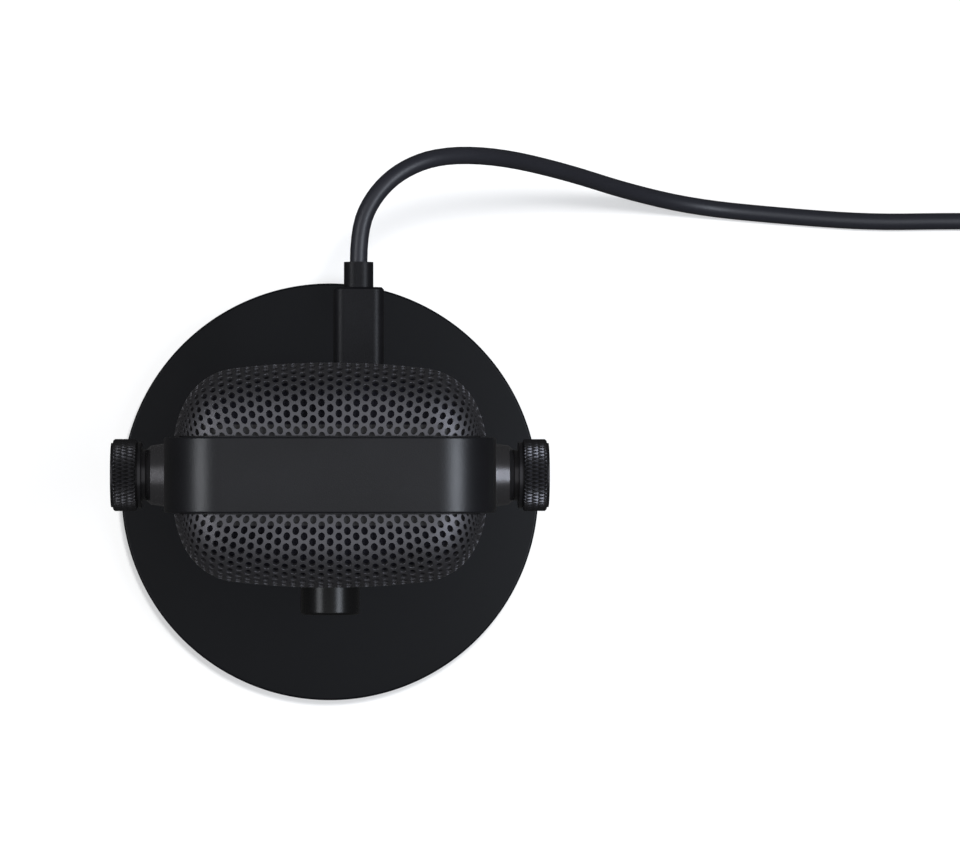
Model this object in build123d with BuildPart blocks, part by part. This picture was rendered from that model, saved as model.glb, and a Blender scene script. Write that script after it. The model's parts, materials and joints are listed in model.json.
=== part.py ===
from build123d import *
import math
import os

# Desk ribbon microphone on a yoke stand, in millimetres.
# The origin is under the middle of the base disc, +Z is up, +Y is the rear, where the cable
# leaves, and +X is to the right of somebody who faces the front.

# Base and riser
BASE_D = 100.0
BASE_TOP = 8.0
BASE_BEVEL = 0.6
PAD_D = 94.0
PAD_H = 1.2
PAD_HOLE_D = 17.0
RISER_D = 20.0
RISER_TOP = 26.0
RISER_CHAMFER = 0.5
HEX_KEY_R = 2.5
HEX_KEY_DEPTH = 2.2
BASE_BOLT_D = 8.0
BASE_BOLT_HEAD_D = 15.0
BASE_BOLT_HEAD_H = 3.6
BASE_BOLT_TIP = 16.0
YOKE_BOLT_D = 6.0
YOKE_BOLT_HEAD_D = 10.0
YOKE_BOLT_HEAD_H = 3.0
YOKE_BOLT_SUNK = 2.4
YOKE_BOLT_TIP = 17.0

# Head: a rounded block in a flat band
HEAD_Y = 4.0
HEAD_BOTTOM = 52.0
HEAD_TOP = 205.0
BAND_W = 66.4
BAND_DEPTH = 15.0
BAND_T = 2.9
BAND_R = 12.0
BAND_BEVEL = 0.4
BLOCK_STEP = 1.9
BLOCK_W = BAND_W - 2 * BLOCK_STEP
BLOCK_D = 45.0
BLOCK_H = HEAD_TOP - HEAD_BOTTOM - 2 * BLOCK_STEP
BLOCK_EDGE_R = BAND_R - BLOCK_STEP

# Outline of the head seen from above: on each side a short flat, then three arcs to the middle of the
# face, each tangent to the one before it
SIDE_R = 20.0
SIDE_ANGLE = 29.0
CORNER_R = 12.5
CORNER_ANGLE = 54.0
FACE_ANGLE = 90.0 - SIDE_ANGLE - CORNER_ANGLE
FACE_HALF_W = (
    BLOCK_W / 2
    - (SIDE_R - CORNER_R) * (1 - math.cos(math.radians(SIDE_ANGLE)))
    - CORNER_R * (1 - math.cos(math.radians(SIDE_ANGLE + CORNER_ANGLE)))
)
FACE_R = FACE_HALF_W / math.sin(math.radians(FACE_ANGLE))
SIDE_FLAT = (
    BLOCK_D / 2
    - (SIDE_R - CORNER_R) * math.sin(math.radians(SIDE_ANGLE))
    - CORNER_R * math.sin(math.radians(SIDE_ANGLE + CORNER_ANGLE))
    - FACE_R * (1 - math.cos(math.radians(FACE_ANGLE)))
)
SKIN_T = 1.0
LINER_OUT = 1.1
LINER_IN = 3.1
LIP_Y = 10.0
BAND_GAP = 0.3
SEAM_Z = 98.0
SEAM_GAP = 0.3
BULKHEAD_T = 2.0
BAND_SCREW_X = 20.0
BAND_SCREW_D = 2.5
BAND_SCREW_HEAD_D = 4.8
BAND_SCREW_HEAD_H = 1.2
BAND_SCREW_L = 6.0

# Pivot, yoke and thumb screws, measured out along X from the middle
PIVOT_Z = 118.0
YOKE_IN = 34.2
ARM_OUT = 38.6
BOSS_OUT = 39.7
ARM_W = 12.6
YOKE_BOTTOM = RISER_TOP
YOKE_T = 5.5
YOKE_R = 18.0
BOSS_D = 14.1
BOSS_EDGE_D = 12.75
BOSS_FACE_D = 10.8
BUSH_D = 8.0
BUSH_BORE_D = 5.8
FRICTION_D = 13.6
FRICTION_GAP = 0.1
INSERT_D = 9.0
INSERT_IN = 25.0
SHANK_D = 5.0
SHANK_IN = 26.5
THREAD_CLEARANCE = 0.05
WASHER_D = 11.0
WASHER_IN = 39.75
WASHER_OUT = 40.6
FLANGE_D = 14.3
FLANGE_OUT = 41.6
KNURL_D = 15.6
KNURL_OUT = 46.8
KNURL_CHAMFER = 0.5
CAP_D = 13.9
CAP_OUT = 47.2
CAP_SPIGOT_D = 11.0
CAP_SPIGOT_L = 1.2

# Ribbon motor: the ribbon hangs between two magnets in an upright frame
FRAME_W = 37.6
FRAME_LOW = 110.0
FRAME_HIGH = 182.0
FRAME_DEPTH = 10.0
FRAME_BAR = 4.0
FRAME_END = 6.0
FRAME_CORNER_R = 2.0
FOOT_D = 6.0
MAGNET_LOW = 121.0
MAGNET_HIGH = 171.0
MAGNET_W = 8.0
MAGNET_DEPTH = 9.0
POLE_IN = 2.8
POLE_W = 4.0
POLE_DEPTH = 5.0
RIBBON_W = 5.0
RIBBON_T = 0.15
RIBBON_PITCH = 2.0
RIBBON_WAVE = 0.45
RIBBON_STRAIGHT = 0.5
CLAMP_W = 12.0
CLAMP_H = 4.0
CLAMP_DEPTH = 6.0
CLAMP_HOLD = 3.0
CORE_W = 22.0
CORE_H = 18.0
CORE_DEPTH = 8.0
CORE_Y = 12.5
CORE_LEG = 5.0
CORE_BAR = 3.5
COIL_WALL = 4.5
COIL_BULGE = 1.8

# Electronics in the lower part of the head
BOARD_W = 50.0
BOARD_LOW = 60.0
BOARD_HIGH = 94.0
BOARD_T = 1.6
BOARD_CORNER_R = 2.0
BOARD_Y = 6.6
BOARD_REAR = BOARD_Y + BOARD_T
PORT_X = 6.4
PORT_Z = 75.0
SOCKET_REAR = 22.2
USB_W = 8.94
USB_H = 3.26
USB_WALL = 0.28
USB_DEPTH = 6.8
TONGUE_W = 6.6
TONGUE_T = 0.7
JACK_BORE_D = 3.6
JACK_BORE_L = 13.0
JACK_D = 6.0
JACK_BOX_W = 7.0
JACK_BOX_H = 6.6
JACK_BOX_REAR = 20.6
PORT_CLEARANCE = 0.15

# Dial on its encoder, measured forwards from the middle of the head
DIAL_Z = 82.0
DIAL_D = 13.3
DIAL_FRONT = 31.2
DIAL_BACK = 23.4
DIAL_FILLET = 0.7
DIAL_BORE_DEPTH = 5.6
DIAL_BORE_SPARE = 0.2
SHAFT_D = 6.0
SHAFT_HOLE_D = 7.4
SHAFT_BACK = 19.3
ENCODER_W = 12.0
ENCODER_FRONT = 18.4
ENCODER_BACK = 12.4
ENCODER_NECK_D = 9.0
ENCODER_NECK_FRONT = 21.2
ENCODER_BORE_L = 3.0
FRONT_BOARD_W = 30.0
FRONT_BOARD_H = 22.0
FRONT_BOARD_T = 1.2

# Plugs, measured along the plug from the end of the cord
PLUG_W = 11.4
PLUG_H = 6.5
PLUG_CORNER_R = 2.4
PLUG_L = 19.7
PLUG_CHAMFER = 0.5
RELIEF_W = 6.65
RELIEF_H = 5.6
RELIEF_CORNER_R = 2.7
RELIEF_L = 5.7
SHELL_W = 8.34
SHELL_H = 2.56
SHELL_WALL = 0.32
SHELL_L = 6.2
SHELL_FLOOR = 0.3
PLUG_GAP = 0.1

# Cord: a free stretch in the air, a stretch on the table, and a tied coil
CORD_D = 4.0
CORD_Z = CORD_D / 2
STUB_D = CORD_D - 0.1
ARC_SHARE = 0.45
NEAR_END_Y = HEAD_Y + BLOCK_D / 2 + PLUG_GAP + PLUG_L + RELIEF_L
ROUTE = [
    (PORT_X, NEAR_END_Y, PORT_Z),
    (PORT_X, 60.4, PORT_Z),
    (9.2, 68.9, 75.0),
    (15.0, 75.8, 74.2),
    (23.5, 80.7, 70.5),
    (38.0, 82.0, 59.0),
    (56.0, 78.0, 38.0),
    (73.0, 72.9, 18.0),
    (90.0, 69.3, 5.0),
    (108.0, 67.0, CORD_Z),
    (130.0, 65.2, CORD_Z),
    (148.0, 65.5, CORD_Z),
    (164.0, 65.5, CORD_Z),
]
LANDING = 9
COIL_TURNS_WIDE = 3
COIL_LAYERS = 4
COIL_TURNS = COIL_TURNS_WIDE * COIL_LAYERS - 0.75
COIL_MEAN_R = 22.0
COIL_OUT_R = COIL_MEAN_R + COIL_TURNS_WIDE * CORD_D / 2
COIL_IN_R = COIL_MEAN_R - COIL_TURNS_WIDE * CORD_D / 2
COIL_H = COIL_LAYERS * CORD_D
COIL_TURN_R = COIL_OUT_R - CORD_D / 2
COIL_X = 188.0
COIL_Y = ROUTE[-1][1] - COIL_TURN_R
COIL_EDGE_R = 1.9
TAIL_Y = 22.0
FAR_PLUG_Z = PLUG_H / 2
TIE_L = 6.0
TIE_W = 13.0
TIE_H = 17.0
TIE_T = 1.0

SIDES = {"left": -1, "right": 1}


def save(piece, name):
    """Label a finished piece and write it as a node of its own."""
    piece.part.label = name
    export_step(piece.part, f"parts/{name}.step")


def facing_front(x, forward, z):
    """Plane that looks forwards from the head, with local x to the right and local y up."""
    return Plane(origin=(x, HEAD_Y - forward, z), x_dir=(1, 0, 0), z_dir=(0, -1, 0))


def facing_rear(x, backward, z):
    """Plane that looks back from the head, with local y up."""
    return Plane(origin=(x, HEAD_Y + backward, z), x_dir=(-1, 0, 0), z_dir=(0, 1, 0))


def facing_side(side, out, z=PIVOT_Z):
    """Plane that looks out along the pivot on one side, with local y up."""
    return Plane(origin=(side * out, HEAD_Y, z), x_dir=(0, side, 0), z_dir=(side, 0, 0))


# ---------------------------------------------------------------- base


def make_base():
    """Steel disc on a rubber pad."""
    with BuildPart() as base_pad:
        with BuildSketch():
            Circle(PAD_D / 2)
            with Locations((0, HEAD_Y)):
                Circle(PAD_HOLE_D / 2, mode=Mode.SUBTRACT)
        extrude(amount=PAD_H)
    save(base_pad, "base_pad")

    with BuildPart() as base_plate:
        with BuildSketch(Plane.XY.offset(PAD_H)):
            Circle(BASE_D / 2)
        extrude(amount=BASE_TOP - PAD_H)
        chamfer(base_plate.edges().group_by(Axis.Z)[-1], BASE_BEVEL)
        with BuildSketch(Plane((0, HEAD_Y, PAD_H))):
            Circle(BASE_BOLT_HEAD_D / 2)
        extrude(amount=BASE_BOLT_HEAD_H, mode=Mode.SUBTRACT)
        with BuildSketch(Plane((0, HEAD_Y, PAD_H))):
            Circle(BASE_BOLT_D / 2)
        extrude(amount=BASE_TOP, mode=Mode.SUBTRACT)
    save(base_plate, "base_plate")

    with BuildPart() as base_bolt:
        with BuildSketch(Plane((0, HEAD_Y, PAD_H))):
            Circle(BASE_BOLT_HEAD_D / 2)
        extrude(amount=BASE_BOLT_HEAD_H)
        with BuildSketch(Plane((0, HEAD_Y, PAD_H))):
            Circle(BASE_BOLT_D / 2)
        extrude(amount=BASE_BOLT_TIP - PAD_H)
        with BuildSketch(Plane((0, HEAD_Y, PAD_H))):
            RegularPolygon(HEX_KEY_R, 6)
        extrude(amount=HEX_KEY_DEPTH, mode=Mode.SUBTRACT)
    save(base_bolt, "base_bolt")

    with BuildPart() as riser:
        with BuildSketch(Plane((0, HEAD_Y, BASE_TOP))):
            Circle(RISER_D / 2)
        extrude(amount=RISER_TOP - BASE_TOP)
        chamfer(riser.edges().group_by(Axis.Z)[0], RISER_CHAMFER)
        with BuildSketch(Plane((0, HEAD_Y, BASE_TOP))):
            Circle(BASE_BOLT_D / 2)
        extrude(amount=BASE_BOLT_TIP - BASE_TOP, mode=Mode.SUBTRACT)
        with BuildSketch(Plane((0, HEAD_Y, RISER_TOP))):
            Circle(YOKE_BOLT_D / 2)
        extrude(amount=YOKE_BOLT_TIP - RISER_TOP, mode=Mode.SUBTRACT)
    save(riser, "riser")


# ---------------------------------------------------------------- yoke


def make_yoke():
    """Forked arm with a tapered boss at each end, its bolt, and the bushes and pads of the pivot."""
    arm_top = PIVOT_Z
    with BuildPart() as yoke:
        with BuildSketch(facing_front(0, -ARM_W / 2, 0)) as fork:
            with BuildLine():
                Polyline((-ARM_OUT, arm_top), (-ARM_OUT, YOKE_BOTTOM), (ARM_OUT, YOKE_BOTTOM), (ARM_OUT, arm_top),
                         (YOKE_IN, arm_top), (YOKE_IN, YOKE_BOTTOM + YOKE_T), (-YOKE_IN, YOKE_BOTTOM + YOKE_T),
                         (-YOKE_IN, arm_top), close=True)
            make_face()
            fillet(fork.vertices().group_by(Axis.Y)[1], YOKE_R - YOKE_T)
            fillet(fork.vertices().group_by(Axis.Y)[0], YOKE_R)
        extrude(amount=ARM_W)
        for side in SIDES.values():
            with BuildSketch(facing_side(side, YOKE_IN)):
                Circle(BOSS_D / 2)
            with BuildSketch(facing_side(side, ARM_OUT)):
                Circle(BOSS_EDGE_D / 2)
            loft()
            with BuildSketch(facing_side(side, ARM_OUT)):
                Circle(BOSS_EDGE_D / 2)
            with BuildSketch(facing_side(side, BOSS_OUT)):
                Circle(BOSS_FACE_D / 2)
            loft()
            with BuildSketch(facing_side(side, YOKE_IN)):
                Circle(BUSH_D / 2)
            extrude(amount=BOSS_OUT - YOKE_IN, mode=Mode.SUBTRACT)
        with BuildSketch(Plane((0, HEAD_Y, YOKE_BOTTOM))):
            Circle(YOKE_BOLT_D / 2)
        extrude(amount=YOKE_T, mode=Mode.SUBTRACT)
        with BuildSketch(Plane((0, HEAD_Y, YOKE_BOTTOM + YOKE_T))):
            Circle(YOKE_BOLT_HEAD_D / 2)
        extrude(amount=-YOKE_BOLT_SUNK, mode=Mode.SUBTRACT)
    save(yoke, "yoke")

    bolt_seat = YOKE_BOTTOM + YOKE_T - YOKE_BOLT_SUNK
    with BuildPart() as yoke_bolt:
        with BuildSketch(Plane((0, HEAD_Y, bolt_seat))):
            Circle(YOKE_BOLT_HEAD_D / 2)
        extrude(amount=YOKE_BOLT_HEAD_H)
        with BuildSketch(Plane((0, HEAD_Y, bolt_seat))):
            Circle(YOKE_BOLT_D / 2)
        extrude(amount=YOKE_BOLT_TIP - bolt_seat)
        with BuildSketch(Plane((0, HEAD_Y, bolt_seat + YOKE_BOLT_HEAD_H))):
            RegularPolygon(HEX_KEY_R, 6)
        extrude(amount=-HEX_KEY_DEPTH, mode=Mode.SUBTRACT)
    save(yoke_bolt, "yoke_bolt")

    for name, side in SIDES.items():
        with BuildPart() as arm_bush:
            with BuildSketch(facing_side(side, YOKE_IN)):
                Circle(BUSH_D / 2)
                Circle(BUSH_BORE_D / 2, mode=Mode.SUBTRACT)
            extrude(amount=BOSS_OUT - YOKE_IN)
        save(arm_bush, f"arm_bush_{name}")

        with BuildPart() as friction_pad:
            with BuildSketch(facing_side(side, BAND_W / 2 + FRICTION_GAP)):
                Circle(FRICTION_D / 2)
                Circle(BUSH_BORE_D / 2, mode=Mode.SUBTRACT)
            extrude(amount=YOKE_IN - BAND_W / 2 - FRICTION_GAP)
        save(friction_pad, f"friction_pad_{name}")


# ---------------------------------------------------------------- thumb screws


def make_thumb_screws():
    """On each side: threaded insert in the head, washer, knurled knob on its screw, and end cap."""
    for name, side in SIDES.items():
        with BuildPart() as pivot_insert:
            with BuildSketch(facing_side(side, INSERT_IN)):
                Circle(INSERT_D / 2)
                Circle(SHANK_D / 2 + THREAD_CLEARANCE, mode=Mode.SUBTRACT)
            extrude(amount=BAND_W / 2 - INSERT_IN)
        save(pivot_insert, f"pivot_insert_{name}")

        with BuildPart() as washer:
            with BuildSketch(facing_side(side, WASHER_IN)):
                Circle(WASHER_D / 2)
                Circle(SHANK_D / 2 + THREAD_CLEARANCE, mode=Mode.SUBTRACT)
            extrude(amount=WASHER_OUT - WASHER_IN)
        save(washer, f"washer_{name}")

        with BuildPart() as knob:
            with BuildSketch(facing_side(side, WASHER_OUT)):
                Circle(FLANGE_D / 2)
            extrude(amount=FLANGE_OUT - WASHER_OUT)
            with BuildSketch(facing_side(side, FLANGE_OUT)):
                Circle(KNURL_D / 2)
            extrude(amount=KNURL_OUT - FLANGE_OUT)
            knurl_rims = knob.edges().filter_by(GeomType.CIRCLE).group_by(SortBy.RADIUS)[-1]
            chamfer(knurl_rims, KNURL_CHAMFER)
            with BuildSketch(facing_side(side, KNURL_OUT - CAP_SPIGOT_L)):
                Circle(CAP_SPIGOT_D / 2)
            extrude(amount=CAP_SPIGOT_L, mode=Mode.SUBTRACT)
            with BuildSketch(facing_side(side, WASHER_OUT)):
                Circle(SHANK_D / 2)
            extrude(amount=KNURL_OUT - CAP_SPIGOT_L - WASHER_OUT, mode=Mode.SUBTRACT)
        save(knob, f"knob_{name}")

        with BuildPart() as knob_screw:
            with BuildSketch(facing_side(side, SHANK_IN)):
                Circle(SHANK_D / 2)
            extrude(amount=KNURL_OUT - CAP_SPIGOT_L - SHANK_IN)
        save(knob_screw, f"knob_screw_{name}")

        with BuildPart() as knob_cap:
            with BuildSketch(facing_side(side, KNURL_OUT - CAP_SPIGOT_L)):
                Circle(CAP_SPIGOT_D / 2)
            extrude(amount=CAP_SPIGOT_L)
            with BuildSketch(facing_side(side, KNURL_OUT)):
                Circle(CAP_D / 2)
            extrude(amount=CAP_OUT - KNURL_OUT)
        save(knob_cap, f"knob_cap_{name}")


# ---------------------------------------------------------------- head shell


def head_block(inset):
    """Rounded block of the head, drawn in on every side by the inset."""
    half_w = BLOCK_W / 2 - inset
    with BuildPart() as block:
        with BuildSketch(Plane((0, HEAD_Y, HEAD_BOTTOM + BLOCK_STEP + inset))):
            with BuildLine():
                flat = Line((half_w, 0), (half_w, SIDE_FLAT))
                side = JernArc(flat @ 1, flat % 1, SIDE_R - inset, SIDE_ANGLE)
                corner = JernArc(side @ 1, side % 1, CORNER_R - inset, CORNER_ANGLE)
                JernArc(corner @ 1, corner % 1, FACE_R - inset, FACE_ANGLE)
                mirror(about=Plane.YZ)
                mirror(about=Plane.XZ)
            make_face()
        extrude(amount=BLOCK_H - 2 * inset)
        ends = block.faces().filter_by(Axis.Z)
        fillet(ends.edges(), BLOCK_EDGE_R - inset)
    return block.part


def head_shell(outer, inner):
    """Closed shell between two insets of the head's block."""
    with BuildPart() as shell:
        add(head_block(outer))
        add(head_block(inner), mode=Mode.SUBTRACT)
    return shell.part


def slab(y_low, y_high, z_low, z_high):
    """Box across the head, with its depth measured from the middle of the head."""
    with BuildPart() as region:
        with Locations((0, HEAD_Y + (y_low + y_high) / 2, (z_low + z_high) / 2)):
            Box(BAND_W, y_high - y_low, z_high - z_low)
    return region.part


def band_screw(side):
    """Flat-headed screw that holds the chassis in the band from below, on one side."""
    with BuildPart() as screw:
        with BuildSketch(Plane((side * BAND_SCREW_X, HEAD_Y, HEAD_BOTTOM))):
            Circle(BAND_SCREW_HEAD_D / 2)
        extrude(amount=BAND_SCREW_HEAD_H)
        with BuildSketch(Plane((side * BAND_SCREW_X, HEAD_Y, HEAD_BOTTOM))):
            Circle(BAND_SCREW_D / 2)
        extrude(amount=BAND_SCREW_L)
    return screw


def make_band():
    """Flat band around the head's outline, open at the pivot and for two screws below."""
    screws = {name: band_screw(side) for name, side in SIDES.items()}
    for name, screw in screws.items():
        save(screw, f"band_screw_{name}")
    with BuildPart() as band:
        with BuildSketch(facing_front(0, -BAND_DEPTH / 2, (HEAD_BOTTOM + HEAD_TOP) / 2)):
            RectangleRounded(BAND_W, HEAD_TOP - HEAD_BOTTOM, BAND_R)
            RectangleRounded(BAND_W - 2 * BAND_T, HEAD_TOP - HEAD_BOTTOM - 2 * BAND_T, BAND_R - BAND_T,
                             mode=Mode.SUBTRACT)
        extrude(amount=BAND_DEPTH)
        faces_across = band.faces().filter_by(Axis.Y)
        outer_edges = [face.outer_wire().edges() for face in faces_across]
        chamfer([edge for edges in outer_edges for edge in edges], BAND_BEVEL)
        for side in SIDES.values():
            with BuildSketch(facing_side(side, INSERT_IN)):
                Circle(INSERT_D / 2)
            extrude(amount=BAND_W / 2 - INSERT_IN, mode=Mode.SUBTRACT)
        for screw in screws.values():
            add(screw.part, mode=Mode.SUBTRACT)
    save(band, "band")


def make_chassis():
    """Inner ring that carries the shells, and the bulkhead between ribbon motor and electronics."""
    screws = [band_screw(side).part for side in SIDES.values()]
    with BuildPart() as chassis:
        add(head_shell(LINER_OUT, LINER_IN))
        add(slab(-LIP_Y, LIP_Y, HEAD_BOTTOM, HEAD_TOP), mode=Mode.INTERSECT)
        for side in SIDES.values():
            with BuildSketch(facing_side(side, INSERT_IN)):
                Circle(INSERT_D / 2)
            extrude(amount=BAND_W / 2 - INSERT_IN, mode=Mode.SUBTRACT)
        add(screws, mode=Mode.SUBTRACT)
    save(chassis, "chassis")

    with BuildPart() as bulkhead:
        add(head_block(LINER_IN))
        add(slab(-BLOCK_D, BLOCK_D, SEAM_Z - BULKHEAD_T / 2, SEAM_Z + BULKHEAD_T / 2), mode=Mode.INTERSECT)
    save(bulkhead, "bulkhead")


def make_skins():
    """Front and rear grilles with their foam liners, and the closed covers below them."""
    skin = head_shell(0, SKIN_T)
    liner = head_shell(LINER_OUT, LINER_IN)
    near = BAND_DEPTH / 2 + BAND_GAP
    far = BLOCK_D / 2
    for name, (skin_low, skin_high), (liner_low, liner_high) in (
        ("front", (-far, -near), (-far, -LIP_Y)),
        ("rear", (near, far), (LIP_Y, far)),
    ):
        with BuildPart() as grille:
            add(skin)
            add(slab(skin_low, skin_high, SEAM_Z, HEAD_TOP), mode=Mode.INTERSECT)
        save(grille, f"grille_{name}")

        with BuildPart() as foam:
            add(liner)
            add(slab(liner_low, liner_high, SEAM_Z + BULKHEAD_T / 2, HEAD_TOP), mode=Mode.INTERSECT)
        save(foam, f"foam_{name}")

        with BuildPart() as cover:
            add(skin)
            add(slab(skin_low, skin_high, HEAD_BOTTOM, SEAM_Z - SEAM_GAP), mode=Mode.INTERSECT)
            if name == "front":
                with BuildSketch(facing_front(0, 0, DIAL_Z)):
                    Circle(SHAFT_HOLE_D / 2)
            else:
                with BuildSketch(facing_rear(0, 0, PORT_Z)):
                    with Locations((-PORT_X, 0)):
                        SlotOverall(USB_W + 2 * PORT_CLEARANCE, USB_H + 2 * PORT_CLEARANCE)
                    with Locations((PORT_X, 0)):
                        Circle(JACK_D / 2 + PORT_CLEARANCE)
            extrude(amount=BLOCK_D, mode=Mode.SUBTRACT)
        save(cover, f"cover_{name}")


# ---------------------------------------------------------------- ribbon motor


def make_ribbon_motor():
    """Upright frame with two magnets and pole pieces, and the ribbon hung between two clamps."""
    frame_middle = (FRAME_LOW + FRAME_HIGH) / 2
    frame_inner_w = FRAME_W - 2 * FRAME_BAR
    frame_inner_h = FRAME_HIGH - FRAME_LOW - 2 * FRAME_END
    with BuildPart() as motor_frame:
        with BuildSketch(facing_front(0, -FRAME_DEPTH / 2, frame_middle)):
            Rectangle(FRAME_W, FRAME_HIGH - FRAME_LOW)
            Rectangle(frame_inner_w, frame_inner_h, mode=Mode.SUBTRACT)
        extrude(amount=FRAME_DEPTH)
        fillet(motor_frame.edges().filter_by(Axis.Y).sort_by(Axis.X)[:2], FRAME_CORNER_R)
        fillet(motor_frame.edges().filter_by(Axis.Y).sort_by(Axis.X)[-2:], FRAME_CORNER_R)
        with BuildSketch(Plane((0, HEAD_Y, SEAM_Z + BULKHEAD_T / 2))):
            with GridLocations(FRAME_W - 2 * FOOT_D, 0, 2, 1):
                Circle(FOOT_D / 2)
        extrude(amount=FRAME_LOW - SEAM_Z - BULKHEAD_T / 2)
    save(motor_frame, "motor_frame")

    magnet_h = MAGNET_HIGH - MAGNET_LOW
    for name, side in SIDES.items():
        with BuildPart() as pole:
            with Locations((side * (POLE_IN + POLE_W / 2), HEAD_Y, MAGNET_LOW)):
                Box(POLE_W, POLE_DEPTH, magnet_h, align=(Align.CENTER, Align.CENTER, Align.MIN))
        save(pole, f"pole_{name}")

        with BuildPart() as magnet:
            with Locations((side * (POLE_IN + POLE_W + MAGNET_W / 2), HEAD_Y, MAGNET_LOW)):
                Box(MAGNET_W, MAGNET_DEPTH, magnet_h, align=(Align.CENTER, Align.CENTER, Align.MIN))
        save(magnet, f"magnet_{name}")

    lower_edge = FRAME_LOW + FRAME_END + CLAMP_H
    upper_edge = FRAME_HIGH - FRAME_END - CLAMP_H
    for name, clamp_low, ribbon_low in (
        ("lower", lower_edge - CLAMP_H, lower_edge - CLAMP_HOLD),
        ("upper", upper_edge, upper_edge),
    ):
        with BuildPart() as clamp:
            with Locations((0, HEAD_Y, clamp_low)):
                Box(CLAMP_W, CLAMP_DEPTH, CLAMP_H, align=(Align.CENTER, Align.CENTER, Align.MIN))
            with Locations((0, HEAD_Y, ribbon_low)):
                Box(RIBBON_W, RIBBON_T, CLAMP_HOLD, align=(Align.CENTER, Align.CENTER, Align.MIN),
                    mode=Mode.SUBTRACT)
        save(clamp, f"ribbon_clamp_{name}")

    wave_low = lower_edge + RIBBON_STRAIGHT
    wave_h = upper_edge - RIBBON_STRAIGHT - wave_low
    folds = round(wave_h / (RIBBON_PITCH / 2))
    wave = [
        (RIBBON_WAVE * math.sin(fold * math.pi / 2), wave_low + fold * wave_h / folds)
        for fold in range(folds)
    ]
    with BuildPart() as ribbon:
        with BuildSketch(Plane((-RIBBON_W / 2, HEAD_Y, 0), x_dir=(0, 1, 0), z_dir=(1, 0, 0))):
            with BuildLine():
                middle = Polyline((0, lower_edge - CLAMP_HOLD + RIBBON_T), *wave, (0, wave_low + wave_h),
                                  (0, upper_edge + CLAMP_HOLD - RIBBON_T))
                offset(middle, amount=RIBBON_T / 2, side=Side.BOTH)
            make_face()
        extrude(amount=RIBBON_W)
    save(ribbon, "ribbon")


def make_transformer():
    """Output transformer on the bulkhead: an iron core with a winding on its middle leg."""
    core_low = SEAM_Z + BULKHEAD_T / 2
    window_w = (CORE_W - CORE_LEG - 2 * CORE_BAR) / 2
    window_h = CORE_H - 2 * CORE_BAR
    window_x = (CORE_LEG + window_w) / 2
    core_plane = facing_rear(0, CORE_Y - CORE_DEPTH / 2, core_low + CORE_H / 2)
    with BuildPart() as transformer_core:
        with BuildSketch(core_plane):
            Rectangle(CORE_W, CORE_H)
            with GridLocations(2 * window_x, 0, 2, 1):
                Rectangle(window_w, window_h, mode=Mode.SUBTRACT)
        extrude(amount=CORE_DEPTH)
    save(transformer_core, "transformer_core")

    with BuildPart() as transformer_coil:
        with Locations((0, HEAD_Y + CORE_Y, core_low + CORE_H / 2)):
            Box(CORE_LEG + 2 * COIL_WALL, CORE_DEPTH + 2 * COIL_BULGE, window_h)
            Box(CORE_LEG, CORE_DEPTH, window_h, mode=Mode.SUBTRACT)
    save(transformer_coil, "transformer_coil")


# ---------------------------------------------------------------- electronics


def make_electronics():
    """Main board with its two sockets, and the front board with the encoder."""
    board_middle = (BOARD_LOW + BOARD_HIGH) / 2
    with BuildPart() as main_board:
        with BuildSketch(facing_rear(0, BOARD_Y, board_middle)):
            RectangleRounded(BOARD_W, BOARD_HIGH - BOARD_LOW, BOARD_CORNER_R)
        extrude(amount=BOARD_T)
    save(main_board, "main_board")

    with BuildPart() as usb_socket:
        with BuildSketch(facing_rear(PORT_X, BOARD_REAR, PORT_Z)):
            SlotOverall(USB_W, USB_H)
        extrude(amount=SOCKET_REAR - BOARD_REAR)
        with BuildSketch(facing_rear(PORT_X, SOCKET_REAR, PORT_Z)):
            SlotOverall(USB_W - 2 * USB_WALL, USB_H - 2 * USB_WALL)
            Rectangle(TONGUE_W, TONGUE_T, mode=Mode.SUBTRACT)
        extrude(amount=-USB_DEPTH, mode=Mode.SUBTRACT)
    save(usb_socket, "usb_socket")

    with BuildPart() as headphone_socket:
        with BuildSketch(facing_rear(-PORT_X, BOARD_REAR, PORT_Z)):
            Rectangle(JACK_BOX_W, JACK_BOX_H)
        extrude(amount=JACK_BOX_REAR - BOARD_REAR)
        with BuildSketch(facing_rear(-PORT_X, JACK_BOX_REAR, PORT_Z)):
            Circle(JACK_D / 2)
        extrude(amount=SOCKET_REAR - JACK_BOX_REAR)
        with BuildSketch(facing_rear(-PORT_X, SOCKET_REAR, PORT_Z)):
            Circle(JACK_BORE_D / 2)
        extrude(amount=-JACK_BORE_L, mode=Mode.SUBTRACT)
    save(headphone_socket, "headphone_socket")

    with BuildPart() as front_board:
        with BuildSketch(facing_front(0, ENCODER_BACK - FRONT_BOARD_T, DIAL_Z)):
            Rectangle(FRONT_BOARD_W, FRONT_BOARD_H)
        extrude(amount=FRONT_BOARD_T)
    save(front_board, "front_board")

    with BuildPart() as encoder:
        with BuildSketch(facing_front(0, ENCODER_BACK, DIAL_Z)):
            Rectangle(ENCODER_W, ENCODER_W)
        extrude(amount=ENCODER_FRONT - ENCODER_BACK)
        with BuildSketch(facing_front(0, ENCODER_FRONT, DIAL_Z)):
            Circle(ENCODER_NECK_D / 2)
        extrude(amount=ENCODER_NECK_FRONT - ENCODER_FRONT)
        with BuildSketch(facing_front(0, ENCODER_NECK_FRONT, DIAL_Z)):
            Circle(SHAFT_D / 2 + THREAD_CLEARANCE)
        extrude(amount=-ENCODER_BORE_L, mode=Mode.SUBTRACT)
    save(encoder, "encoder")


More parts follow.
